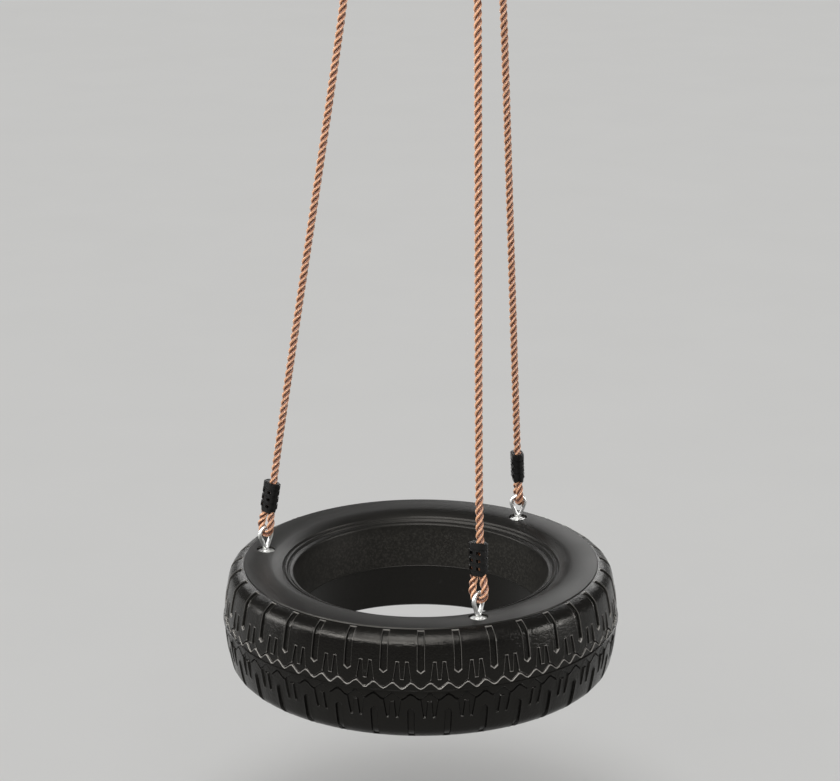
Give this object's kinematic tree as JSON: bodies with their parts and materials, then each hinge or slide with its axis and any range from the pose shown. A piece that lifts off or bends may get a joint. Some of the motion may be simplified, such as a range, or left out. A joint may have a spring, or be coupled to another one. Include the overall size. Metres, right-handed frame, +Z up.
{
  "type": "tire swing",
  "caption": "Tyre-shaped moulded swing seat hung level on laid ropes with eye bolts and rope clamps from a swivelling ceiling bracket.",
  "frame": {"origin": "centre of the ceiling plate's top face, on the hanger's axis", "axes": "+Z up out of the ceiling plate; the swing hangs to -Z and faces -Y, +X to its right"},
  "size_m": [0.6499, 0.65, 1.4029],
  "materials": {
    "zinc_plate_steel": "hot-dip galvanised plate, dull spangle",
    "galvanised_steel": "galvanised, satin",
    "bronze": "plain sintered bronze",
    "nylon": "natural nylon",
    "moulded_tyre": "blow-moulded polyethylene, satin sidewalls and fine-grained tread",
    "black_plastic": "moulded nylon, satin",
    "laid_rope": "three-strand laid polypropylene, shiny tan-brown"
  },
  "bodies": {
    "ceiling_mount": {"ceiling_plate": "zinc_plate_steel", "fore_aft_pin": "galvanised_steel", "fore_aft_pin_nut": "galvanised_steel"},
    "link": {"cross_link": "zinc_plate_steel", "fore_aft_bush": "bronze", "sideways_bush": "bronze"},
    "yoke": {"swivel_yoke": "zinc_plate_steel", "sideways_pin": "galvanised_steel", "sideways_pin_nut": "galvanised_steel", "swivel_bush": "bronze", "thrust_washer": "nylon"},
    "swing": {"swivel_bolt": "galvanised_steel", "swivel_lock_nut": "galvanised_steel", "spider": "zinc_plate_steel", "spider_lower_washers": "galvanised_steel", "spider_upper_washers": "galvanised_steel", "spider_lock_nuts": "galvanised_steel", "tyre_shell": "moulded_tyre", "tyre_top_washers": "galvanised_steel", "tyre_bottom_washers": "galvanised_steel", "tyre_lock_nuts": "galvanised_steel", "well_caps": "black_plastic", "rope_1": "laid_rope", "lower_eye_bolt_1": "galvanised_steel", "upper_eye_bolt_1": "galvanised_steel", "spacer_tube_1": "galvanised_steel", "lower_clamp_1_inner": "black_plastic", "lower_clamp_1_outer": "black_plastic", "upper_clamp_1_inner": "black_plastic", "upper_clamp_1_outer": "black_plastic", "rope_2": "laid_rope", "lower_eye_bolt_2": "galvanised_steel", "upper_eye_bolt_2": "galvanised_steel", "spacer_tube_2": "galvanised_steel", "lower_clamp_2_inner": "black_plastic", "lower_clamp_2_outer": "black_plastic", "upper_clamp_2_inner": "black_plastic", "upper_clamp_2_outer": "black_plastic", "rope_3": "laid_rope", "lower_eye_bolt_3": "galvanised_steel", "upper_eye_bolt_3": "galvanised_steel", "spacer_tube_3": "galvanised_steel", "lower_clamp_3_inner": "black_plastic", "lower_clamp_3_outer": "black_plastic", "upper_clamp_3_inner": "black_plastic", "upper_clamp_3_outer": "black_plastic"}
  },
  "joints": [
    {"name": "fore_aft_swing", "type": "hinge", "parent": "ceiling_mount", "child": "link", "pos_m": [0, 0, -0.036], "axis": [1, 0, 0], "range_deg": [-30, 30]},
    {"name": "sideways_swing", "type": "hinge", "parent": "link", "child": "yoke", "pos_m": [0, 0, -0.084], "axis": [0, 1, 0], "range_deg": [-30, 30]},
    {"name": "spin", "type": "hinge", "parent": "yoke", "child": "swing", "pos_m": [0, 0, -0.124], "axis": [0, 0, 1], "continuous": true}
  ]
}
